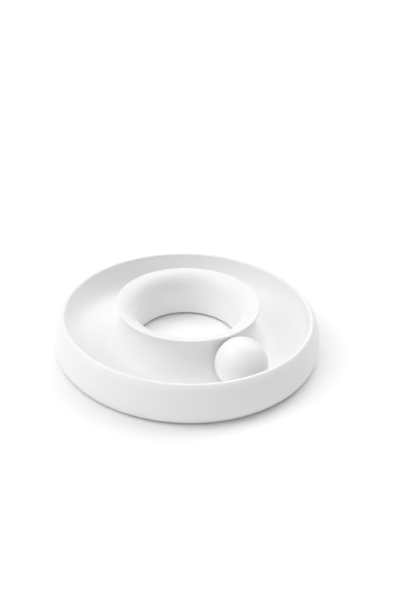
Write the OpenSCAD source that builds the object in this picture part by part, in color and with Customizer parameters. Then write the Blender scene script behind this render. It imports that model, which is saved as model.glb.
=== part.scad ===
// Cat ball track toy: a round tray with a deep ring-shaped track, an open
// flared centre, and a hollow ball with a small bell in it that rolls round
// the track. All sizes in millimetres, +Z up, origin on the ground at the
// centre of the tray.

/* [Tray] */
// Largest diameter of the tray, a little above the ground
tray_d = 268.8; // [268.2:0.2:269.4]
// Height of the outer lip's rounded top above the ground
lip_z = 38.8; // [38.4:0.2:39.2]
// Height of the skirt's widest point
belly_z = 10.8; // [10.4:0.2:11.2]
// Radius of the skirt's curve above its widest point
belly_r = 54.6; // [54:0.2:57]
// Radius of the round shoulder above that curve
shoulder_r = 17.2; // [15:0.2:18]
// Radius of the lip's rounded edge
crest_r = 2.5; // [2.4:0.1:2.7]
// Wall thickness of the tray mouldings
wall_t = 2.2; // [2:0.1:2.4]
// Gap between the ground and the bottom edges of the skirt and the throat
edge_z = 2; // [1.8:0.1:2.2]

/* [Track] */
// Radius of the circle that the ball's centre runs round
track_r = 95; // [94.5:0.1:95.4]
// Height of the track's lowest line
floor_z = 6; // [6:0.1:6.4]
// Room between the ball and the round track, all round
track_room = 2.1; // [1.9:0.1:2.3]
// Lean of the outer track wall from upright, in degrees
wall_lean = 3; // [2:0.5:4]
// Extra radius of the neck's hollow curve over the floor's curve
neck_ease = 1.5; // [1.2:0.1:1.8]

/* [Centre funnel] */
// Height of the funnel's lip, the top of the tray
funnel_z = 47.1; // [46.7:0.2:47.7]
// Diameter over the funnel's lip
funnel_d = 144.4; // [143.6:0.2:145]
// Diameter of the open throat
throat_d = 104; // [103.2:0.2:104.8]
// Thickness of the funnel's lip
funnel_lip_t = 1.8; // [1.6:0.1:2]
// Slope of the funnel's mouth beside its lip, in degrees
mouth_slope = 1; // [0:1:6]

/* [Ball] */
// Diameter of the ball
ball_d = 48.8; // [48.4:0.2:49.2]
// Wall thickness of the ball's two halves
ball_t = 2; // [1.8:0.1:2.4]
// Where the ball stands on the track, degrees round from +X
ball_az = -58.3; // [-180:0.1:180]
// Gap between the ball and the track floor
ball_gap = 0.2; // [0.15:0.05:0.3]

/* [Bell] */
// Diameter of the bell's round body
bell_d = 16; // [14:0.5:17]
// Thickness of the bell's sheet
bell_t = 0.5; // [0.4:0.1:0.6]
// Diameter of the loose pea in the bell
pea_d = 5; // [4:0.5:5.5]

/* [Base and feet] */
// Thickness of the base plate
plate_t = 1.6; // [1.4:0.1:1.6]
// Middle radius of the outer foot ring
foot_outer_r = 116.5; // [114:0.5:116.5]
// Middle radius of the inner foot ring
foot_inner_r = 72.5; // [72:0.5:76]
// Width of each foot ring
foot_w = 5; // [4:0.5:5.5]

/* [Screws] */
// Number of screws in each of the two rings
screw_n = 6; // [4:1:8]
// Radius of the outer ring of screws
screw_outer_r = 125.2; // [125:0.1:125.4]
// Radius of the inner ring of screws
screw_inner_r = 61.5; // [61:0.1:62]
// Outside diameter of the screw thread
screw_d = 2.9; // [2.6:0.1:3]

/* [Hidden] */
$fn = 120;
e = 0.01;

white = [0.93, 0.93, 0.93];
grey = [0.72, 0.73, 0.74];

// --- derived sizes ---------------------------------------------------------
tray_r = tray_d / 2;
foot_curve_r = 14.6;                // tighter curve of the skirt below it
trough_r = ball_d / 2 + track_room;
c_floor = [track_r, floor_z + trough_r];
neck_r = trough_r + neck_ease;
c_neck = c_floor + neck_ease * [sin(45), cos(45)];
neck_top_z = funnel_z - funnel_lip_t - 1.1;
plate_z = edge_z + 0.1;             // underside of the base plate
plate_top = plate_z + plate_t;
foot_top = plate_z + 1.5;           // bottom of the foot rings' grooves
well_top = 6;                       // top of the screw wells
boss_z = 6.1;                       // bottom of the screw bosses
throat_r = throat_d / 2;
lip_edge_r = funnel_lip_t / 2;
// the funnel's mouth: a curve that leaves the lip's round edge at a slope and
// ends upright at the throat
c_lip = [funnel_d / 2 - lip_edge_r, funnel_z - lip_edge_r];
a_lip = 90 + mouth_slope;
mouth_r = (c_lip[0] + lip_edge_r * cos(a_lip) - throat_r) / (1 + cos(a_lip));
c_mouth = c_lip + (lip_edge_r - mouth_r) * [cos(a_lip), sin(a_lip)];
ball_r = ball_d / 2;
ball_z = floor_z + ball_gap + ball_r;
ball_c = [track_r * cos(ball_az), track_r * sin(ball_az), ball_z];
bell_r = bell_d / 2;
bell_z = -(ball_r - ball_t - bell_r - 0.3);   // bell's centre below the ball's
pea_z = bell_z - (bell_r - bell_t - pea_d / 2 - 0.1);
// the ball's seam is tilted, as a ball comes to rest anyhow
seam_tilt = [56, 0, 0];

// --- profile helpers -------------------------------------------------------
function arc(c, r, a0, a1, n) =
    [for (i = [0:n]) let (a = a0 + (a1 - a0) * i / n) c + r * [cos(a), sin(a)]];
function ang(v) = atan2(v[1], v[0]);

// crest of the outer lip: a circle that touches the leaning track wall
lean_dir = [sin(wall_lean), cos(wall_lean)];
lean_out = [cos(wall_lean), -sin(wall_lean)];
wall_foot = c_floor + trough_r * lean_out;
crest_s = (lip_z - crest_r - wall_foot[1] + crest_r * sin(wall_lean)) / cos(wall_lean);
c_crest = wall_foot + crest_s * lean_dir + crest_r * lean_out;
c_belly = [tray_r - belly_r, belly_z];
c_foot = [tray_r - foot_curve_r, belly_z];

// the shoulder's circle touches the belly's and the crest's from inside, so
// its centre is the third corner of a triangle with known sides
to_crest = c_crest - c_belly;
side_b = belly_r - shoulder_r;
side_c = shoulder_r - crest_r;
a_belly = ang(to_crest) - acos(min(1,
    (to_crest * to_crest + side_b * side_b - side_c * side_c) / (2 * norm(to_crest) * side_b)));
c_shoulder = c_belly + side_b * [cos(a_belly), sin(a_belly)];
a_crest = ang(c_crest - c_shoulder);
hollow_r = max(crest_r - wall_t, 0.1);      // top of the hollow behind the lip

// angle on a circle of radius r centred at height cz where the height is z
function a_at(z, cz, r) = asin((z - cz) / r);

// visible side of the tray moulding, from the skirt's bottom edge over the
// lip, down into the track and up the neck
tray_face = concat(
    arc(c_foot, foot_curve_r, a_at(edge_z, belly_z, foot_curve_r), 0, 8),
    arc(c_belly, belly_r, 0, a_belly, 12),
    arc(c_shoulder, shoulder_r, a_belly, a_crest, 10),
    arc(c_crest, crest_r, a_crest, 180 - wall_lean, 14),
    arc(c_floor, trough_r, -wall_lean, -135, 28),
    arc(c_neck, neck_r, -135, -180 - a_at(neck_top_z, c_neck[1], neck_r), 20));

// hidden side, from the neck's top back to the skirt's rebate
neck_in = neck_r + wall_t;
tray_back = concat(
    arc(c_neck, neck_in, -180 - a_at(neck_top_z, c_neck[1], neck_in), -135, 14),
    arc(c_floor, trough_r + wall_t, -135, -wall_lean, 20),
    arc(c_crest, hollow_r, 180 - wall_lean, a_crest, 3),
    arc(c_shoulder, shoulder_r - wall_t, a_crest, a_belly, 7),
    arc(c_belly, belly_r - wall_t, a_belly, 0, 6),
    arc(c_foot, foot_curve_r - wall_t, -3, a_at(plate_top + 0.05, belly_z, foot_curve_r - wall_t), 5));
rebate_r = tray_back[len(tray_back) - 1][0] + 0.8;
plate_r = rebate_r - 0.25;
throat_back = throat_r + wall_t;

// --- small shared shapes -----------------------------------------------------
module ring_of(n, r, a0 = 0) {
    for (i = [0:n - 1]) rotate([0, 0, a0 + i * 360 / n]) translate([r, 0, 0]) children();
}

module ring(r0, r1, z0, z1) {
    rotate_extrude() polygon([[r0, z0], [r1, z0], [r1, z1], [r0, z1]]);
}

// --- tray mouldings --------------------------------------------------------
screw_a0 = 30;

module track_shell() {
    color(white) difference() {
        union() {
            rotate_extrude() polygon(concat(tray_face, tray_back,
                [[rebate_r, plate_top + 0.05], [rebate_r, edge_z]]));
            // screw bosses in the hollow skirt, each tied to both walls by a rib
            ring_of(screw_n, screw_outer_r, screw_a0) {
                translate([0, 0, boss_z]) cylinder(d = 7, h = 16.9);
                translate([-6, -0.8, boss_z]) cube([13.5, 1.6, 12]);
            }
        }
        ring_of(screw_n, screw_outer_r, screw_a0)
            translate([0, 0, boss_z - 1]) cylinder(d = 3, h = 11.5);
    }
}

module centre_funnel() {
    // the lip sits on the neck's top and carries on its curve; the spigot under
    // it follows the neck's hollow side with a small gap
    spig = neck_in + 0.25;
    spig_z0 = neck_top_z - 3;
    spig_z1 = neck_top_z + 0.1;
    in_r = mouth_r - wall_t;
    spig_in = c_neck[0] - spig * cos(asin((spig_z0 - c_neck[1]) / spig)) - 1.6;
    color(white) difference() {
        union() {
            rotate_extrude() polygon(concat(
                [[throat_r, edge_z + 0.3]],
                arc(c_mouth, mouth_r, 180, a_lip, 24),
                arc(c_lip, lip_edge_r, a_lip - 12, -90, 12),
                arc(c_neck, neck_r, -180 - a_at(funnel_z - funnel_lip_t, c_neck[1], neck_r),
                    -180 - a_at(spig_z1, c_neck[1], neck_r), 3),
                arc(c_neck, spig, -180 - a_at(spig_z1, c_neck[1], spig),
                    -180 - a_at(spig_z0, c_neck[1], spig), 4),
                [[spig_in, spig_z0]],
                arc(c_mouth, in_r, acos((spig_in - c_mouth[0]) / in_r), 180, 18),
                [[throat_back, plate_top + 0.05], [throat_back - 0.9, plate_top + 0.05],
                 [throat_back - 0.9, edge_z], [throat_r + 0.3, edge_z]]));
            // screw bosses under the flared mouth, each tied to the throat by a rib
            ring_of(screw_n, screw_inner_r, screw_a0) {
                translate([0, 0, boss_z]) cylinder(d = 7, h = 16.9);
                translate([throat_r + 1.1 - screw_inner_r, -0.8, boss_z]) cube([7, 1.6, 12]);
            }
        }
        ring_of(screw_n, screw_inner_r, screw_a0)
            translate([0, 0, boss_z - 1]) cylinder(d = 3, h = 11.5);
    }
}

module screw_wells(r) {
    ring_of(screw_n, r, screw_a0) translate([0, 0, plate_z]) cylinder(d = 9, h = well_top - plate_z);
}

module screw_holes(r) {
    ring_of(screw_n, r, screw_a0) {
        translate([0, 0, plate_z - 1]) cylinder(d = 6.4, h = 3.4);
        translate([0, 0, plate_z]) cylinder(d = 3.4, h = 6);
    }
}

module base_plate() {
    color(white) difference() {
        union() {
            ring(throat_back - 0.65, plate_r, plate_z, plate_top);
            // thicker rings over the foot grooves
            ring(foot_outer_r - foot_w / 2 - 1.5, foot_outer_r + foot_w / 2 + 1.5, plate_top - e, plate_top + 0.9);
            ring(foot_inner_r - foot_w / 2 - 1.5, foot_inner_r + foot_w / 2 + 1.5, plate_top - e, plate_top + 0.9);
            screw_wells(screw_outer_r);
            screw_wells(screw_inner_r);
        }
        ring(foot_outer_r - foot_w / 2 - 0.1, foot_outer_r + foot_w / 2 + 0.1, plate_z - 1, foot_top);
        ring(foot_inner_r - foot_w / 2 - 0.1, foot_inner_r + foot_w / 2 + 0.1, plate_z - 1, foot_top);
        screw_holes(screw_outer_r);
        screw_holes(screw_inner_r);
    }
}

// soft ring with two bearing ribs and a groove between them
module foot_ring(r) {
    w = foot_w / 2;
    color(grey) rotate_extrude() polygon([
        [r - w + 0.4, 0], [r - 0.7, 0], [r - 0.5, 0.4], [r + 0.5, 0.4], [r + 0.7, 0], [r + w - 0.4, 0],
        [r + w, 0.4], [r + w, foot_top], [r - w, foot_top], [r - w, 0.4]]);
}

module outer_foot_ring() { foot_ring(foot_outer_r); }
module inner_foot_ring() { foot_ring(foot_inner_r); }

// pan-head screw with a cross recess, head down, tip up
module screw() {
    head_z = plate_z + 2.4;
    color("silver") difference() {
        union() {
            translate([0, 0, head_z - 1.3]) cylinder(d = 5.6, h = 1.3);
            translate([0, 0, head_z - 1.9]) cylinder(d1 = 4.2, d2 = 5.6, h = 0.61);
            translate([0, 0, head_z - e]) cylinder(d = screw_d, h = 9.4);
            translate([0, 0, head_z + 9.3]) cylinder(d1 = screw_d, d2 = 0.8, h = 1.4);
        }
        for (a = [0, 90]) rotate([0, 0, a])
            translate([-1.5, -0.35, head_z - 2.5]) cube([3, 0.7, 1.7]);
    }
}

module outer_screws() { ring_of(screw_n, screw_outer_r, screw_a0) screw(); }
module inner_screws() { ring_of(screw_n, screw_inner_r, screw_a0) screw(); }

// --- ball --------------------------------------------------------------------
// Two hollow halves with a lapped joint inside the wall: a thin collar on the
// lower half stands in a rebate of the upper half.
lap = ball_t / 2;
lap_h = 1.6;

module at_ball() { translate(ball_c) children(); }

module ball_upper_half() {
    color(white) at_ball() rotate(seam_tilt) difference() {
        sphere(r = ball_r);
        sphere(r = ball_r - ball_t);
        translate([-ball_r - 1, -ball_r - 1, -2 * ball_r]) cube([2 * ball_r + 2, 2 * ball_r + 2, 2 * ball_r]);
        translate([0, 0, -1]) cylinder(r = ball_r - lap + 0.05, h = 1 + lap_h + 0.1);
    }
}

module ball_lower_half() {
    color(white) at_ball() rotate(seam_tilt) union() {
        difference() {
            sphere(r = ball_r);
            sphere(r = ball_r - ball_t);
            translate([-ball_r - 1, -ball_r - 1, 0]) cube([2 * ball_r + 2, 2 * ball_r + 2, 2 * ball_r]);
        }
        difference() {
            translate([0, 0, -1]) cylinder(r = ball_r - lap - 0.05, h = 1 + lap_h);
            translate([0, 0, -2]) cylinder(r = ball_r - ball_t, h = 3 + lap_h);
        }
    }
}

// --- bell ----------------------------------------------------------------------
// A jingle bell of two pressed cups with a crimped rim, lying loose in the ball.
module at_bell() { at_ball() translate([0, 0, bell_z]) children(); }

module bell_upper_shell() {
    color("gold") at_bell() difference() {
        union() {
            difference() {
                sphere(r = bell_r);
                translate([-bell_r - 1, -bell_r - 1, -2 * bell_r]) cube([2 * bell_r + 2, 2 * bell_r + 2, 2 * bell_r]);
            }
            cylinder(r = bell_r + 0.8, h = bell_t);
        }
        sphere(r = bell_r - bell_t);
        // hole that the loop's ends pass through
        cylinder(r = 1, h = bell_r + 1);
    }
}

module bell_lower_shell() {
    color("gold") at_bell() difference() {
        union() {
            difference() {
                sphere(r = bell_r);
                translate([-bell_r - 1, -bell_r - 1, 0]) cube([2 * bell_r + 2, 2 * bell_r + 2, 2 * bell_r]);
            }
            translate([0, 0, -bell_t]) cylinder(r = bell_r + 0.8, h = bell_t);
        }
        sphere(r = bell_r - bell_t);
        // crossed sound slots with round ends
        for (a = [0, 90]) rotate([0, 0, a]) {
            translate([-5, -0.7, -bell_r - 1]) cube([10, 1.4, bell_r - 1]);
            for (x = [-5, 5]) translate([x, 0, -bell_r - 1]) cylinder(r = 1.2, h = bell_r - 1);
        }
    }
}

// wire loop on top of the bell, with a washer-like foot inside the cup
module bell_loop() {
    color("gold") at_bell() union() {
        translate([0, 0, bell_r + 2.1]) rotate([90, 0, 0])
            rotate_extrude() translate([1.9, 0]) circle(r = 0.45);
        translate([0, 0, bell_r - bell_t - 0.75]) cylinder(r = 0.9, h = 1.6);
        translate([0, 0, bell_r - bell_t - 0.9]) cylinder(r = 1.7, h = 0.4);
    }
}

module bell_pea() {
    color("silver") at_ball() translate([0, 0, pea_z]) sphere(r = pea_d / 2);
}

track_shell();
centre_funnel();
base_plate();
outer_foot_ring();
inner_foot_ring();
outer_screws();
inner_screws();
ball_upper_half();
ball_lower_half();
bell_upper_shell();
bell_lower_shell();
bell_loop();
bell_pea();
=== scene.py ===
# Cat ball track toy: finish and fine shape of every visible piece, studio floor, light and camera.
import math
import bpy
import bmesh
from mathutils import Matrix, Vector


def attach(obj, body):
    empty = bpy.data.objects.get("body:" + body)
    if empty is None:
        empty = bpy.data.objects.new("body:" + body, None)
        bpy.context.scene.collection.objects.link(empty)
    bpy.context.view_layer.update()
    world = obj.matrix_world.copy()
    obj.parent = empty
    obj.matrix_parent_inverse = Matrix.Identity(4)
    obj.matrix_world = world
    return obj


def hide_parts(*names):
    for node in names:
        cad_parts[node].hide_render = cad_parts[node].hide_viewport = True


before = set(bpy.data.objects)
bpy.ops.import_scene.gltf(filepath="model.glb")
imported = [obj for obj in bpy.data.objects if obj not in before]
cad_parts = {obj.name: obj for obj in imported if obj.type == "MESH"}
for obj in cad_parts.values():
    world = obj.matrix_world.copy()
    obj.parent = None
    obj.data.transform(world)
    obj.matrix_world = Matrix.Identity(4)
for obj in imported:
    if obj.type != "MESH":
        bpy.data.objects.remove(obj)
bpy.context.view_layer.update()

MM = 0.001
scene = bpy.context.scene
cos = lambda a: math.cos(math.radians(a))
sin = lambda a: math.sin(math.radians(a))


# ---------------------------------------------------------------- sizes, mm
TRAY_R, BELLY_Z, BELLY_R, FOOT_CURVE_R = 134.4, 10.8, 54.6, 14.6
LIP_Z, CREST_R, SHOULDER_R, LEAN = 38.8, 2.5, 17.2, 3.0
WALL, EDGE_Z = 2.2, 2.0
TRACK_R, FLOOR_Z, TROUGH_R, NECK_EASE = 95.0, 6.0, 26.5, 1.5
FUNNEL_Z, FUNNEL_R, THROAT_R, LIP_T = 47.1, 72.2, 52.0, 1.8
MOUTH_SLOPE = 1.0
PLATE_Z, PLATE_T = 2.1, 1.6
FOOT_OUT, FOOT_IN, FOOT_W = 116.5, 72.5, 5.0
SCREW_N, SCREW_OUT, SCREW_IN, SCREW_A0 = 6, 125.2, 61.5, 30.0
WELL_TOP, BOSS_Z = 6.0, 6.1
BALL_R, BALL_T, BALL_AZ, BALL_GAP = 24.4, 2.0, -58.3, 0.2

PLATE_TOP = PLATE_Z + PLATE_T
FOOT_TOP = PLATE_Z + 1.5
C_FLOOR = Vector((TRACK_R, FLOOR_Z + TROUGH_R))
C_NECK = C_FLOOR + NECK_EASE * Vector((sin(45), cos(45)))
NECK_R = TROUGH_R + NECK_EASE
NECK_IN = NECK_R + WALL
NECK_TOP = FUNNEL_Z - LIP_T - 1.1
LIP_E = LIP_T / 2
# the funnel: a lip circle, and a curve that leaves it at a slope and ends upright at the throat
A_LIP = 90 + MOUTH_SLOPE
C_LIP = Vector((FUNNEL_R - LIP_E, FUNNEL_Z - LIP_E))
MOUTH_R = (C_LIP[0] + LIP_E * cos(A_LIP) - THROAT_R) / (1 + cos(A_LIP))
C_MOUTH = C_LIP + (LIP_E - MOUTH_R) * Vector((cos(A_LIP), sin(A_LIP)))
THROAT_BACK = THROAT_R + WALL
BALL_C = Vector((TRACK_R * cos(BALL_AZ), TRACK_R * sin(BALL_AZ), FLOOR_Z + BALL_GAP + BALL_R))

lean_dir = Vector((sin(LEAN), cos(LEAN)))
lean_out = Vector((cos(LEAN), -sin(LEAN)))
wall_foot = C_FLOOR + TROUGH_R * lean_out
C_CREST = wall_foot + (LIP_Z - CREST_R - wall_foot[1] + CREST_R * sin(LEAN)) / cos(LEAN) * lean_dir + CREST_R * lean_out
C_BELLY = Vector((TRAY_R - BELLY_R, BELLY_Z))
C_FOOT = Vector((TRAY_R - FOOT_CURVE_R, BELLY_Z))
# the shoulder's circle touches the belly's and the crest's from inside
ang = lambda v: math.degrees(math.atan2(v[1], v[0]))
to_crest, side_b, side_c = C_CREST - C_BELLY, BELLY_R - SHOULDER_R, SHOULDER_R - CREST_R
A_BELLY = ang(to_crest) - math.degrees(math.acos((to_crest.length_squared + side_b ** 2 - side_c ** 2) / (2 * to_crest.length * side_b)))
C_SHOULDER = C_BELLY + side_b * Vector((cos(A_BELLY), sin(A_BELLY)))
A_CREST = ang(C_CREST - C_SHOULDER)


# ---------------------------------------------------------------- profiles
def arc(c, r, a0, a1, n):
    return [(c[0] + r * cos(a0 + (a1 - a0) * i / n), c[1] + r * sin(a0 + (a1 - a0) * i / n)) for i in range(n + 1)]


def a_at(z, cz, r):
    return math.degrees(math.asin((z - cz) / r))


def fillet(points, steps=4):
    """Closed outline of (r, z) or (r, z, radius): corners with a radius are rounded."""
    out, n = [], len(points)
    for i, p in enumerate(points):
        if len(p) == 2 or p[2] <= 0:
            out.append((p[0], p[1]))
            continue
        a, b, c = Vector(points[i - 1][:2]), Vector(p[:2]), Vector(points[(i + 1) % n][:2])
        u, v = (a - b), (c - b)
        room = 0.45 * min(u.length, v.length)
        u.normalize()
        v.normalize()
        half = u.angle(v) / 2
        cut = min(p[2] / math.tan(half), room)
        rad = cut * math.tan(half)
        mid = b + (u + v).normalized() * rad / math.sin(half)
        s, e = b + u * cut - mid, b + v * cut - mid
        a0 = math.atan2(s[1], s[0])
        d = (math.atan2(e[1], e[0]) - a0 + math.pi) % (2 * math.pi) - math.pi
        for k in range(steps + 1):
            t = a0 + d * k / steps
            out.append((mid[0] + rad * math.cos(t), mid[1] + rad * math.sin(t)))
    clean = [out[0]]
    for q in out[1:]:
        if math.hypot(q[0] - clean[-1][0], q[1] - clean[-1][1]) > 1e-4:
            clean.append(q)
    if math.hypot(clean[0][0] - clean[-1][0], clean[0][1] - clean[-1][1]) <= 1e-4:
        clean.pop()
    return clean


# ---------------------------------------------------------------- mesh tools
def finish_mesh(me, angle=32):
    me.polygons.foreach_set("use_smooth", [True] * len(me.polygons))
    me.set_sharp_from_angle(angle=math.radians(angle))
    me.update()


def new_object(name, bm, angle=32):
    me = bpy.data.meshes.new(name)
    bm.to_mesh(me)
    bm.free()
    finish_mesh(me, angle)
    ob = bpy.data.objects.new(name, me)
    scene.collection.objects.link(ob)
    return ob


def lathe(outline, seg, centre=(0, 0, 0), closed=True):
    """Revolves an outline of (r, z) in mm about Z. Points on the axis become single vertices."""
    bm = bmesh.new()
    cx, cy, cz = centre
    rings = []
    for r, z in outline:
        if r < 1e-6:
            rings.append([bm.verts.new(((cx) * MM, (cy) * MM, (cz + z) * MM))])
        else:
            rings.append([bm.verts.new(((cx + r * math.cos(2 * math.pi * i / seg)) * MM, (cy + r * math.sin(2 * math.pi * i / seg)) * MM, (cz + z) * MM)) for i in range(seg)])
    n = len(rings)
    for k in range(n if closed else n - 1):
        a, b = rings[k], rings[(k + 1) % n]
        if len(a) == 1 and len(b) == 1:
            continue
        for i in range(seg):
            j = (i + 1) % seg
            if len(a) == 1:
                bm.faces.new((a[0], b[j], b[i]))
            elif len(b) == 1:
                bm.faces.new((a[i], a[j], b[0]))
            else:
                bm.faces.new((a[i], a[j], b[j], b[i]))
    bmesh.ops.recalc_face_normals(bm, faces=bm.faces)
    return bm


def box_bm(lo, hi, turn=0.0):
    bm = bmesh.new()
    bmesh.ops.create_cube(bm, size=1.0)
    size = [hi[k] - lo[k] for k in range(3)]
    mid = [(hi[k] + lo[k]) / 2 for k in range(3)]
    m = Matrix.Rotation(math.radians(turn), 4, "Z") @ Matrix.Translation(Vector(mid) * MM) @ Matrix.Diagonal(Vector(size + [1 / MM]) * MM)
    bmesh.ops.transform(bm, matrix=m, verts=bm.verts)
    return bm


def merge(parts):
    """Several meshes as one, none of them touching another."""
    whole = bmesh.new()
    for p in parts:
        me = bpy.data.meshes.new("part")
        p.to_mesh(me)
        p.free()
        whole.from_mesh(me)
        bpy.data.meshes.remove(me)
    return whole


def boolean(bm, cutters, how):
    """bm with each of the cutters joined or cut, as one closed mesh."""
    for n, cutter in enumerate(cutters):
        a, b = bpy.data.meshes.new("bool_a"), bpy.data.meshes.new("bool_b")
        bm.to_mesh(a)
        bm.free()
        cutter.to_mesh(b)
        cutter.free()
        oa, ob = bpy.data.objects.new("bool_a", a), bpy.data.objects.new("bool_b", b)
        scene.collection.objects.link(oa)
        scene.collection.objects.link(ob)
        m = oa.modifiers.new("b", "BOOLEAN")
        m.operation, m.object = how, ob
        try:
            m.solver = "MANIFOLD"
        except TypeError:
            m.solver = "EXACT"
        dg = bpy.context.evaluated_depsgraph_get()
        me = bpy.data.meshes.new_from_object(oa.evaluated_get(dg))
        bm = bmesh.new()
        bm.from_mesh(me)
        for o in (oa, ob):
            bpy.data.objects.remove(o)
        for m_ in (a, b, me):
            bpy.data.meshes.remove(m_)
    return bm


def around(make, n, r, a0):
    return [make(r * cos(a0 + i * 360 / n), r * sin(a0 + i * 360 / n), a0 + i * 360 / n) for i in range(n)]


def put(ob, body, material, slot, *nodes):
    ob.data.materials.clear()
    ob.data.materials.append(material)
    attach(ob, body)
    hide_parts(*nodes)
    return ob


def turned(bm, tilt, at):
    bmesh.ops.transform(bm, matrix=Matrix.Translation(Vector(at) * MM) @ Matrix.Rotation(math.radians(tilt), 4, "X"), verts=bm.verts)
    return bm


# ---------------------------------------------------------------- node tools
def node(nt, kind, at=(0, 0), **values):
    n = nt.nodes.new(kind)
    n.location = at
    for k, v in values.items():
        if hasattr(n, k) and not isinstance(v, dict):
            setattr(n, k, v)
        else:
            n.inputs[k].default_value = v
    return n


class Mat:
    """A Principled material with helpers for the noise that its finish is made of."""

    def __init__(self, name, **sockets):
        self.m = bpy.data.materials.new(name)
        self.m.use_nodes = True
        self.nt = self.m.node_tree
        self.bsdf = self.nt.nodes["Principled BSDF"]
        for k, v in sockets.items():
            self.bsdf.inputs[k.replace("_", " ")].default_value = v
        self.tc = node(self.nt, "ShaderNodeTexCoord", (-1600, 0))
        self.height = None

    def link(self, a, b):
        self.nt.links.new(a, b)
        return b

    def noise(self, scale, detail=3.0, rough=0.5, vector=None, distortion=0.0, dims="3D"):
        n = node(self.nt, "ShaderNodeTexNoise", (-1200, 0), noise_dimensions=dims)
        n.inputs["Scale"].default_value = scale
        n.inputs["Detail"].default_value = detail
        n.inputs["Roughness"].default_value = rough
        n.inputs["Distortion"].default_value = distortion
        self.link(vector or self.tc.outputs["Object"], n.inputs["Vector"])
        return n.outputs["Fac"]

    def remap(self, value, lo, hi, to_lo, to_hi, smooth=False):
        n = node(self.nt, "ShaderNodeMapRange", (-900, 0), interpolation_type="SMOOTHSTEP" if smooth else "LINEAR")
        self.link(value, n.inputs["Value"])
        for k, v in (("From Min", lo), ("From Max", hi), ("To Min", to_lo), ("To Max", to_hi)):
            n.inputs[k].default_value = v
        return n.outputs["Result"]

    def math(self, op, a, b=None):
        n = node(self.nt, "ShaderNodeMath", (-700, 0), operation=op)
        for i, v in enumerate((a, b)):
            if v is None:
                continue
            if isinstance(v, (int, float)):
                n.inputs[i].default_value = v
            else:
                self.link(v, n.inputs[i])
        return n.outputs[0]

    def tint(self, factor, c0, c1):
        n = node(self.nt, "ShaderNodeMix", (-500, 200), data_type="RGBA")
        self.link(factor, n.inputs[0])
        n.inputs[6].default_value = (*c0, 1)
        n.inputs[7].default_value = (*c1, 1)
        self.link(n.outputs[2], self.bsdf.inputs["Base Color"])
        return n

    def bump(self, height, distance, strength=1.0):
        n = node(self.nt, "ShaderNodeBump", (-300, -300))
        n.inputs["Distance"].default_value = distance
        n.inputs["Strength"].default_value = strength
        self.link(height, n.inputs["Height"])
        if self.height is not None:
            self.link(self.height, n.inputs["Normal"])
        self.height = n.outputs["Normal"]
        self.link(self.height, self.bsdf.inputs["Normal"])

    def rough(self, value):
        self.link(value, self.bsdf.inputs["Roughness"])

    def polar(self):
        """Radius from the tray's axis, height and angle, of the shaded point."""
        sep = node(self.nt, "ShaderNodeSeparateXYZ", (-1400, -200))
        self.link(self.tc.outputs["Object"], sep.inputs[0])
        x, y, z = sep.outputs
        r = self.math("SQRT", self.math("ADD", self.math("MULTIPLY", x, x), self.math("MULTIPLY", y, y)))
        return r, z, self.math("ARCTAN2", y, x)


def moulded(name, base, rough, spread=0.05, peel=1.0, grain=1.0, **more):
    """Injection-moulded plastic: even colour with a slight drift, a fine satin grain and a faint orange peel."""
    m = Mat(name, **more)
    drift = m.noise(22, 2.0)
    m.tint(m.remap(drift, 0.3, 0.7, 0, 1), tuple(c * 0.992 for c in base), tuple(min(c * 1.006, 1) for c in base))
    fine = m.noise(1400, 2.0, 0.6)
    m.r_value = m.math("ADD", m.remap(m.noise(70, 4.0, 0.6), 0.3, 0.7, rough - spread, rough + spread), m.remap(fine, 0.3, 0.7, -0.02, 0.02))
    m.rough(m.r_value)
    m.bump(m.noise(230, 2.0, 0.4), 0.000012 * peel, 1.0)
    m.bump(m.noise(2600, 2.0, 0.6), 0.000006 * grain, 1.0)
    return m


WHITE = (0.914, 0.914, 0.913)

tray_mat = moulded("tray_plastic", WHITE, 0.40, Specular_IOR_Level=0.5, IOR=1.5)
# faint circular polish where the ball runs on the track's floor
r_, z_, a_ = tray_mat.polar()
vec = node(tray_mat.nt, "ShaderNodeCombineXYZ", (-1300, -400))
tray_mat.link(tray_mat.math("MULTIPLY", r_, 1400.0), vec.inputs[0])
tray_mat.link(tray_mat.math("MULTIPLY", a_, 1.3), vec.inputs[1])
streak = tray_mat.noise(1.0, 3.0, 0.6, vector=vec.outputs[0])
low = tray_mat.remap(z_, 0.0062, 0.0125, 1, 0, smooth=True)
near = tray_mat.remap(tray_mat.math("ABSOLUTE", tray_mat.math("SUBTRACT", r_, 0.095)), 0.006, 0.02, 1, 0, smooth=True)
polish = tray_mat.math("MULTIPLY", tray_mat.math("MULTIPLY", tray_mat.remap(streak, 0.42, 0.62, 0, 1), low), near)
tray_mat.rough(tray_mat.math("SUBTRACT", tray_mat.r_value, tray_mat.math("MULTIPLY", polish, 0.07)))
tray_mat.bump(tray_mat.math("MULTIPLY", polish, -1.0), 0.000004, 1.0)

base_mat = moulded("base_plastic", tuple(c * 0.94 for c in WHITE), 0.52, spread=0.04, peel=0.6, grain=3.2, Specular_IOR_Level=0.45, IOR=1.5)

# The ball's white is a 2.5% lighter copy of the tray's white. This is painted light: an even brightening that stands in
# for bounce light on the ball.
ball_mat = moulded("ball_plastic", tuple(c * 1.025 for c in WHITE), 0.36, spread=0.04, peel=0.9, grain=0.8, Specular_IOR_Level=0.5, IOR=1.5)
# short fine scuffs from rolling and claws
scuff = ball_mat.noise(420, 5.0, 0.75, distortion=2.2)
ball_mat.rough(ball_mat.math("ADD", ball_mat.r_value, ball_mat.remap(scuff, 0.60, 0.68, 0.0, 0.10)))
ball_mat.bump(ball_mat.remap(scuff, 0.60, 0.66, 0.0, -1.0), 0.000005, 1.0)

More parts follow.
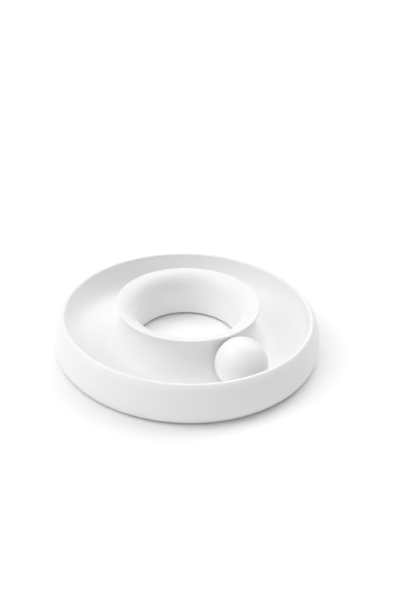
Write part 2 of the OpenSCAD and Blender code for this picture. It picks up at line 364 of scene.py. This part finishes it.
foot_mat = moulded("foot_rubber", (0.52, 0.53, 0.54), 0.62, spread=0.06, peel=1.4, grain=2.4, Specular_IOR_Level=0.35, IOR=1.42)
dust = foot_mat.noise(160, 5.0, 0.7)
foot_mat.tint(foot_mat.remap(dust, 0.42, 0.66, 0, 1), (0.50, 0.51, 0.52), (0.585, 0.585, 0.58))


def metal(name, base, base2, rough, scale=300, spread=0.06, bump=0.000004):
    m = Mat(name, Metallic=1.0)
    patch = m.noise(scale, 5.0, 0.65)
    m.tint(m.remap(patch, 0.32, 0.68, 0, 1), base, base2)
    m.rough(m.math("ADD", m.remap(m.noise(scale * 0.3, 3.0), 0.3, 0.7, rough - spread, rough + spread), m.remap(patch, 0.3, 0.7, -0.03, 0.05)))
    m.bump(m.noise(scale * 8, 3.0, 0.6), bump, 1.0)
    return m


screw_mat = metal("screw_steel", (0.66, 0.68, 0.70), (0.76, 0.77, 0.79), 0.30, scale=500)
brass_mat = metal("bell_brass", (0.80, 0.60, 0.27), (0.87, 0.69, 0.36), 0.24, scale=260)
pea_mat = metal("pea_steel", (0.55, 0.56, 0.57), (0.64, 0.65, 0.66), 0.22, scale=600)


# ---------------------------------------------------------------- tray shell
EDGE_F = 0.35      # rounding of the moulded bottom edges
BACK_FOOT = PLATE_TOP + 0.05

foot_a0 = a_at(EDGE_Z, BELLY_Z, FOOT_CURVE_R)
shell_face = (arc(C_FOOT, FOOT_CURVE_R, foot_a0, 0, 12)
              + arc(C_BELLY, BELLY_R, 0, A_BELLY, 26)
              + arc(C_SHOULDER, SHOULDER_R, A_BELLY, A_CREST, 16)
              + arc(C_CREST, CREST_R, A_CREST, 180 - LEAN, 24)
              + arc(C_FLOOR, TROUGH_R, -LEAN, -135, 60)
              + arc(C_NECK, NECK_R, -135, -180 - a_at(NECK_TOP, C_NECK[1], NECK_R), 34))
shell_back = (arc(C_NECK, NECK_IN, -180 - a_at(NECK_TOP, C_NECK[1], NECK_IN), -135, 14)
              + arc(C_FLOOR, TROUGH_R + WALL, -135, -LEAN, 20)
              + arc(C_CREST, CREST_R - WALL, 180 - LEAN, A_CREST, 3)
              + arc(C_SHOULDER, SHOULDER_R - WALL, A_CREST, A_BELLY, 6)
              + arc(C_BELLY, BELLY_R - WALL, A_BELLY, 0, 6)
              + arc(C_FOOT, FOOT_CURVE_R - WALL, -3, a_at(BACK_FOOT, BELLY_Z, FOOT_CURVE_R - WALL), 4))
REBATE_R = shell_back[-1][0] + 0.8
PLATE_R = REBATE_R - 0.25
outline = list(shell_face + shell_back + [(REBATE_R, BACK_FOOT), (REBATE_R, EDGE_Z, 0.2)])
outline[0] = (*outline[0], EDGE_F)
n_face = len(shell_face)
outline[n_face - 1] = (*outline[n_face - 1], 0.2)
outline[n_face] = (*outline[n_face], 0.2)
shell = lathe(fillet(outline), 384)


def lathed_at(points, seg):
    return lambda x, y, a: lathe(fillet(points), seg, (x, y, 0))


def rib(x0, x1, z0, z1):
    return lambda x, y, a: box_bm((math.hypot(x, y) + x0, -0.8, z0), (math.hypot(x, y) + x1, 0.8, z1), a)


pilot = [(0, 4.5), (2.0, 4.5), (2.0, BOSS_Z - 0.1), (1.5, BOSS_Z + 0.4), (1.5, 16.6), (0, 17.4)]
shell = boolean(shell, [
    merge(around(lathed_at([(0, BOSS_Z), (3.5, BOSS_Z, 0.3), (3.5, BOSS_Z + 16.9), (0, BOSS_Z + 16.9)], 48), SCREW_N, SCREW_OUT, SCREW_A0)),
    merge(around(rib(-6, 7.5, BOSS_Z, BOSS_Z + 12), SCREW_N, SCREW_OUT, SCREW_A0))], "UNION")
shell = boolean(shell, [merge(around(lathed_at(pilot, 32), SCREW_N, SCREW_OUT, SCREW_A0))], "DIFFERENCE")
put(new_object("track_shell_moulding", shell), "tray", tray_mat.m, "tray_plastic", "track_shell")

# ---------------------------------------------------------------- centre funnel
SPIG = NECK_IN + 0.25
SPIG_Z0, SPIG_Z1 = NECK_TOP - 3, NECK_TOP + 0.1
IN_R = MOUTH_R - WALL
SPIG_IN = C_NECK[0] - SPIG * cos(math.degrees(math.asin((SPIG_Z0 - C_NECK[1]) / SPIG))) - 1.6
mouth = arc(C_MOUTH, MOUTH_R, 180, A_LIP, 48)
lip = arc(C_LIP, LIP_E, A_LIP, -90, 20)
spig_a = math.degrees(math.acos((SPIG_IN - C_MOUTH[0]) / IN_R))
outline = ([(THROAT_R, EDGE_Z + 0.3)] + mouth + lip
           + arc(C_NECK, NECK_R, -180 - a_at(FUNNEL_Z - LIP_T, C_NECK[1], NECK_R), -180 - a_at(SPIG_Z1, C_NECK[1], NECK_R), 4)
           + arc(C_NECK, SPIG, -180 - a_at(SPIG_Z1, C_NECK[1], SPIG), -180 - a_at(SPIG_Z0, C_NECK[1], SPIG), 6)
           + [(SPIG_IN, SPIG_Z0)]
           + arc(C_MOUTH, IN_R, spig_a, 180, 28)
           + [(THROAT_BACK, PLATE_TOP + 0.05), (THROAT_BACK - 0.9, PLATE_TOP + 0.05), (THROAT_BACK - 0.9, EDGE_Z, 0.25), (THROAT_R + 0.3, EDGE_Z, 0.25)])
funnel = lathe(fillet(outline), 288)
funnel = boolean(funnel, [
    merge(around(lathed_at([(0, BOSS_Z), (3.5, BOSS_Z, 0.3), (3.5, BOSS_Z + 16.9), (0, BOSS_Z + 16.9)], 48), SCREW_N, SCREW_IN, SCREW_A0)),
    merge(around(rib(THROAT_R + 1.1 - SCREW_IN, THROAT_R + 8.1 - SCREW_IN, BOSS_Z, BOSS_Z + 12), SCREW_N, SCREW_IN, SCREW_A0))], "UNION")
funnel = boolean(funnel, [merge(around(lathed_at(pilot, 32), SCREW_N, SCREW_IN, SCREW_A0))], "DIFFERENCE")
put(new_object("centre_funnel_moulding", funnel), "tray", tray_mat.m, "tray_plastic", "centre_funnel")

# ---------------------------------------------------------------- base plate
groove = lambda r: ((r - FOOT_W / 2 - 0.1), (r + FOOT_W / 2 + 0.1))
gi, go = groove(FOOT_IN), groove(FOOT_OUT)
PLATE_IN = THROAT_BACK - 0.65
outline = [(PLATE_IN, PLATE_Z, 0.35), (gi[0], PLATE_Z, 0.25), (gi[0], FOOT_TOP), (gi[1], FOOT_TOP), (gi[1], PLATE_Z, 0.25),
           (go[0], PLATE_Z, 0.25), (go[0], FOOT_TOP), (go[1], FOOT_TOP), (go[1], PLATE_Z, 0.25),
           (PLATE_R, PLATE_Z, 0.35), (PLATE_R, PLATE_TOP, 0.2),
           (go[1] + 1.4, PLATE_TOP), (go[1] + 1.4, PLATE_TOP + 0.9, 0.3), (go[0] - 1.4, PLATE_TOP + 0.9, 0.3), (go[0] - 1.4, PLATE_TOP),
           (gi[1] + 1.4, PLATE_TOP), (gi[1] + 1.4, PLATE_TOP + 0.9, 0.3), (gi[0] - 1.4, PLATE_TOP + 0.9, 0.3), (gi[0] - 1.4, PLATE_TOP),
           (PLATE_IN, PLATE_TOP, 0.2)]
plate = lathe(fillet(outline), 288)
well = [(0, PLATE_Z + 0.4), (4.5, PLATE_Z + 0.4), (4.5, WELL_TOP, 0.3), (0, WELL_TOP)]
well_cut = [(0, PLATE_Z - 1), (3.6, PLATE_Z - 1), (3.6, PLATE_Z - 0.02), (3.2, PLATE_Z + 0.35), (3.2, PLATE_Z + 2.4), (1.7, PLATE_Z + 2.4), (1.7, WELL_TOP + 1), (0, WELL_TOP + 1)]
pin_mark = [(0, PLATE_Z - 1), (2.5, PLATE_Z - 1), (2.5, PLATE_Z + 0.14), (0, PLATE_Z + 0.14)]
gate_mark = [(0, PLATE_Z - 1), (2.4, PLATE_Z - 1), (2.4, PLATE_Z + 0.1), (1.7, PLATE_Z + 0.5, 0.2), (0.75, PLATE_Z + 0.5), (0.6, PLATE_Z + 0.28), (0, PLATE_Z + 0.22)]
plate = boolean(plate, [merge(around(lathed_at(well, 48), SCREW_N, r, SCREW_A0)) for r in (SCREW_OUT, SCREW_IN)], "UNION")
plate = boolean(plate, [merge(around(lathed_at(well_cut, 48), SCREW_N, r, SCREW_A0)) for r in (SCREW_OUT, SCREW_IN)]
                + [merge(around(lathed_at(pin_mark, 36), 12, 104.5, 15) + around(lathed_at(pin_mark, 36), 6, 84.5, 0)),
                   merge(around(lathed_at(gate_mark, 36), 3, 94.5, 30))], "DIFFERENCE")
put(new_object("base_plate_moulding", plate), "tray", base_mat.m, "base_plastic", "base_plate")

# ---------------------------------------------------------------- foot rings
for name, r in (("outer_foot_ring", FOOT_OUT), ("inner_foot_ring", FOOT_IN)):
    w = FOOT_W / 2
    outline = [(r - w, 0.0, 0.5), (r - 0.75, 0.0, 0.2), (r - 0.5, 0.4, 0.15), (r + 0.5, 0.4, 0.15), (r + 0.75, 0.0, 0.2), (r + w, 0.0, 0.5),
               (r + w, FOOT_TOP, 0.2), (r - w, FOOT_TOP, 0.2)]
    put(new_object(name + "_silicone", lathe(fillet(outline, 5), 288)), "tray", foot_mat.m, "foot_rubber", name)

# ---------------------------------------------------------------- screws
HEAD_Z = PLATE_Z + 2.4


def screw_bm():
    """Pan head with a cross recess, head down, and a rolled thread that tapers to the tip."""
    seg, pitch = 36, 1.27
    head = fillet([(0, HEAD_Z - 1.9), (1.6, HEAD_Z - 1.88), (2.35, HEAD_Z - 1.6, 0.5), (2.72, HEAD_Z - 1.05, 0.4), (2.8, HEAD_Z - 0.5, 0.2), (2.8, HEAD_Z - 0.02, 0.15), (1.35, HEAD_Z)], 4)[:]
    rows = [(r, z, 0.0) for r, z in head]
    z, top, tip = HEAD_Z + 0.12, HEAD_Z + 9.3, HEAD_Z + 10.6
    step = pitch / 9
    while z < tip - 0.05:
        t = max(0.0, (z - top) / (tip - top))
        core, crest = 1.08 * (1 - 0.75 * t), 1.45 * (1 - 0.72 * t)
        grow = min(1.0, (z - HEAD_Z) / 0.9)
        rows.append((core, z, (crest - core) * grow))
        z += step
    rows.append((0.0, tip, 0.0))
    bm = bmesh.new()
    rings = []
    for r, z, amp in rows:
        if r < 1e-6:
            rings.append([bm.verts.new((0, 0, z * MM))])
            continue
        ring = []
        for i in range(seg):
            a = 2 * math.pi * i / seg
            ph = ((z - HEAD_Z) / pitch - i / seg) % 1.0
            ridge = max(0.0, 1 - abs(ph - 0.5) / 0.30)
            rr = r + amp * ridge
            ring.append(bm.verts.new((rr * math.cos(a) * MM, rr * math.sin(a) * MM, z * MM)))
        rings.append(ring)
    for a, b in zip(rings, rings[1:]):
        for i in range(seg):
            j = (i + 1) % seg
            if len(a) == 1:
                bm.faces.new((a[0], b[j], b[i]))
            elif len(b) == 1:
                bm.faces.new((a[i], a[j], b[0]))
            else:
                bm.faces.new((a[i], a[j], b[j], b[i]))
    bmesh.ops.recalc_face_normals(bm, faces=bm.faces)
    wings = []
    for turn in (0, 90):
        c = bmesh.new()
        lo, hi = HEAD_Z - 2.3, HEAD_Z - 0.75
        ring = []
        for z, l, w in ((lo, 1.62, 0.40), (hi, 0.75, 0.26)):
            ring.append([c.verts.new((sx * l * MM, sy * w * MM, z * MM)) for sx, sy in ((-1, -1), (1, -1), (1, 1), (-1, 1))])
        c.faces.new(ring[0][::-1])
        c.faces.new(ring[1])
        for i in range(4):
            c.faces.new((ring[0][i], ring[0][(i + 1) % 4], ring[1][(i + 1) % 4], ring[1][i]))
        bmesh.ops.rotate(c, cent=(0, 0, 0), matrix=Matrix.Rotation(math.radians(turn + 20), 3, "Z"), verts=c.verts)
        bmesh.ops.recalc_face_normals(c, faces=c.faces)
        wings.append(c)
    return boolean(bm, wings, "DIFFERENCE")


one_screw = bpy.data.meshes.new("screw")
b = screw_bm()
b.to_mesh(one_screw)
b.free()
for name, r in (("outer_screws", SCREW_OUT), ("inner_screws", SCREW_IN)):
    whole = bmesh.new()
    for i in range(SCREW_N):
        part = bmesh.new()
        part.from_mesh(one_screw)
        a = SCREW_A0 + i * 360 / SCREW_N
        # each screw stopped at its own angle when it was driven
        m = Matrix.Translation((r * cos(a) * MM, r * sin(a) * MM, 0)) @ Matrix.Rotation(math.radians((i * 137.5 + r) % 360), 4, "Z")
        bmesh.ops.transform(part, matrix=m, verts=part.verts)
        me = bpy.data.meshes.new("part")
        part.to_mesh(me)
        part.free()
        whole.from_mesh(me)
        bpy.data.meshes.remove(me)
    put(new_object(name + "_threaded", whole, 40), "tray", screw_mat.m, "screw_steel", name)
bpy.data.meshes.remove(one_screw)

# ---------------------------------------------------------------- ball
TILT, LAP, LAP_H, SEAM = 56.0, 1.0, 1.6, 0.10
a_seam = math.degrees(SEAM / BALL_R)
inner = BALL_R - BALL_T
lower = ([(0.0, -BALL_R)] + arc((0, 0), BALL_R, -90, -a_seam, 66)[1:] + [(BALL_R - SEAM, 0.0), (BALL_R - LAP - 0.05, 0.0), (BALL_R - LAP - 0.05, LAP_H), (inner, LAP_H)]
         + arc((0, 0), inner, 0, -90, 40)[:-1] + [(0.0, -inner)])
in_a = math.degrees(math.asin((LAP_H + 0.1) / inner))
upper = ([(BALL_R - SEAM, 0.0)] + arc((0, 0), BALL_R, a_seam, 90, 66)[:-1] + [(0.0, BALL_R), (0.0, inner)] + arc((0, 0), inner, 90, in_a, 40)[1:]
         + [(BALL_R - LAP + 0.05, LAP_H + 0.1), (BALL_R - LAP + 0.05, 0.0)])
for name, outline in (("ball_upper_half", upper), ("ball_lower_half", lower)):
    put(new_object(name + "_moulding", turned(lathe(outline, 144), TILT, BALL_C)), "ball", ball_mat.m, "ball_plastic", name)

# ---------------------------------------------------------------- bell: its pressed cups, loop and pea keep their construction
for name, mat in (("bell_upper_shell", brass_mat), ("bell_lower_shell", brass_mat), ("bell_loop", brass_mat), ("bell_pea", pea_mat)):
    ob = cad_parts[name]
    ob.data.materials.clear()
    ob.data.materials.append(mat.m)

# ---------------------------------------------------------------- floor
bm = bmesh.new()
bmesh.ops.create_grid(bm, x_segments=1, y_segments=1, size=15.0)
floor = new_object("studio_floor", bm)
floor_mat = Mat("studio_floor", Roughness=0.9, Specular_IOR_Level=0.0)
floor_mat.tint(floor_mat.remap(floor_mat.noise(3.0, 2.0), 0.3, 0.7, 0, 1), (0.986, 0.986, 0.986), (0.994, 0.994, 0.994))
floor_mat.bsdf.inputs["Emission Color"].default_value = (1, 1, 1, 1)
floor_mat.bsdf.inputs["Emission Strength"].default_value = 0.000
floor.data.materials.append(floor_mat.m)

# ---------------------------------------------------------------- light
world = bpy.data.worlds.new("studio")
scene.world = world
world.use_nodes = True
world.node_tree.nodes["Background"].inputs[0].default_value = (1, 1, 1, 1)
world.node_tree.nodes["Background"].inputs[1].default_value = 0.200


def soft_light(name, azimuth, elevation, strength, colour=(1, 1, 1), angle=45):
    """A large, distant soft light. Azimuth is where it comes from, round from +X."""
    li = bpy.data.lights.new(name, "SUN")
    li.energy, li.angle, li.color = strength * math.pi, math.radians(angle), colour
    ob = bpy.data.objects.new(name, li)
    scene.collection.objects.link(ob)
    d = Vector((cos(elevation) * cos(azimuth), cos(elevation) * sin(azimuth), sin(elevation)))
    ob.rotation_euler = (-d).to_track_quat("-Z", "Y").to_euler()
    ob.location = d * 2
    return ob


for name, az, el, angle, strength, colour in (
        ("overhead", 90, 90, 45, 0.048, (0.916, 0.911, 0.988)),
        ("back_top", 90, 66, 35, 0.163, (0.995, 0.995, 0.952)),
        ("left_top", 180, 66, 35, 0.101, (1.000, 0.979, 0.963)),
        ("back_right_high", 45, 45, 40, 0.281, (0.964, 0.982, 0.988)),
        ("back_high", 90, 45, 40, 0.051, (0.919, 0.938, 0.988)),
        ("left_high", 180, 45, 40, 0.280, (0.929, 0.953, 0.988)),
        ("front_high", 270, 45, 40, 0.077, (0.985, 0.980, 0.965)),
        ("back_right_low", 45, 20, 36, 0.051, (0.971, 0.958, 0.988)),
        ("back_low", 90, 20, 36, 0.018, (0.985, 0.980, 0.965)),
        ("back_left_low", 135, 20, 36, 0.063, (1.000, 0.963, 0.961)),
        ("left_low", 180, 20, 36, 0.069, (1.000, 0.981, 0.958)),
        ("front_left_low", 225, 20, 36, 0.090, (0.951, 0.956, 0.988)),
        ("front_low", 270, 20, 36, 0.019, (0.985, 0.980, 0.965)),
        ("front_right_low", 315, 20, 36, 0.027, (0.985, 0.980, 0.965))):
    soft_light(name, az, el, strength, colour, angle)

# ---------------------------------------------------------------- camera
F_PX, CAM_Y, CAM_Z, PSI, PHI, RHO = 655.0, -566.3, 381.9, 1.220, 30.50, 2.20
fwd0, right0, up0 = Vector((sin(PSI), cos(PSI), 0)), Vector((cos(PSI), -sin(PSI), 0)), Vector((0, 0, 1))
fwd, up = fwd0 * cos(PHI) - up0 * sin(PHI), fwd0 * sin(PHI) + up0 * cos(PHI)
right, top = right0 * cos(RHO) + up * sin(RHO), -right0 * sin(RHO) + up * cos(RHO)
camera = bpy.data.objects.new("camera", bpy.data.cameras.new("camera"))
scene.collection.objects.link(camera)
m = Matrix((right, top, -fwd)).transposed().to_4x4()
m.translation = Vector((0, CAM_Y, CAM_Z)) * MM
camera.matrix_world = m
camera.data.sensor_width = 36
camera.data.lens = 36 * F_PX / 601
camera.data.clip_start = 0.01
camera.data.clip_end = 100
scene.camera = camera
scene.view_settings.view_transform = "Standard"
scene.view_settings.look = "None"
